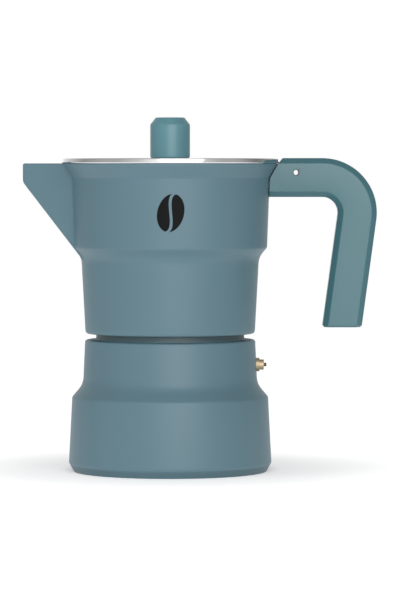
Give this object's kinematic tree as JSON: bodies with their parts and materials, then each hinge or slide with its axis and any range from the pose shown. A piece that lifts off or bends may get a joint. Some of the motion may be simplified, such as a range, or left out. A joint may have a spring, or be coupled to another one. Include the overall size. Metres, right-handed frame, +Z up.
{
  "type": "stovetop moka pot",
  "caption": "Stovetop moka pot: water boiler with safety valve, coffee funnel, screw-on collector with pouring spout and side handle, and a hinged lid with a knob.",
  "frame": {"origin": "on the pot's axis, on the flat face that the boiler stands on", "axes": "+Z up the pot's axis, +X towards the handle and lid hinge, -X towards the spout, +Y across"},
  "size_m": [0.1599, 0.0978, 0.16],
  "materials": {
    "body_paint": "satin teal-grey paint",
    "handle_plastic": "satin moulded plastic, teal-grey",
    "knob_plastic": "glossy moulded plastic, teal",
    "lid_metal": "polished",
    "cast_aluminium": "bare, fine-turned",
    "sheet_aluminium": "bare, drawn",
    "stainless": "brushed",
    "brass": "turned",
    "gasket_rubber": "matt, off-white",
    "fibre": "matt, red fibre"
  },
  "bodies": {
    "boiler": {"boiler": "body_paint", "funnel": "sheet_aluminium", "funnel_strainer": "sheet_aluminium", "valve_body": "brass", "valve_ring": "brass", "valve_washer": "fibre", "valve_nut": "brass", "valve_spring": "stainless"},
    "valve_stem": {"valve_stem": "brass"},
    "seal": {"gasket": "gasket_rubber", "filter_plate": "sheet_aluminium"},
    "collector": {"upper_chamber": "body_paint", "riser_column": "cast_aluminium", "handle": "handle_plastic", "handle_screw": "stainless", "handle_washer": "stainless", "hinge_pin": "stainless"},
    "lid": {"lid": "lid_metal", "lid_hinge_leaf": "stainless", "lid_hinge_rivets": "sheet_aluminium", "knob": "knob_plastic", "knob_insert": "brass", "knob_washer": "stainless", "knob_screw": "stainless"}
  },
  "joints": [
    {"name": "valve_lift", "type": "slide", "parent": "boiler", "child": "valve_stem", "axis": [1, 0, 0], "range_m": [0, 0.001], "stiffness_N_per_m": 500, "springref_m": -0.002, "deforming": ["valve_spring"]},
    {"name": "seal_lift", "type": "slide", "parent": "boiler", "child": "seal", "axis": [0, 0, 1], "range_m": [0, 0.00751]},
    {"name": "collector_turn", "type": "hinge", "parent": "seal", "child": "collector", "pos_m": [0, 0, 0.0625], "axis": [0, 0, 1], "range_deg": [0, 900]},
    {"name": "lid_hinge", "type": "hinge", "parent": "collector", "child": "lid", "pos_m": [0.0568, 0, 0.1352], "axis": [0, 1, 0], "range_deg": [0, 98]}
  ],
  "couplings": [
    {"joint": "seal_lift", "follows": "collector_turn", "m_per_rad": 0.00047746}
  ]
}
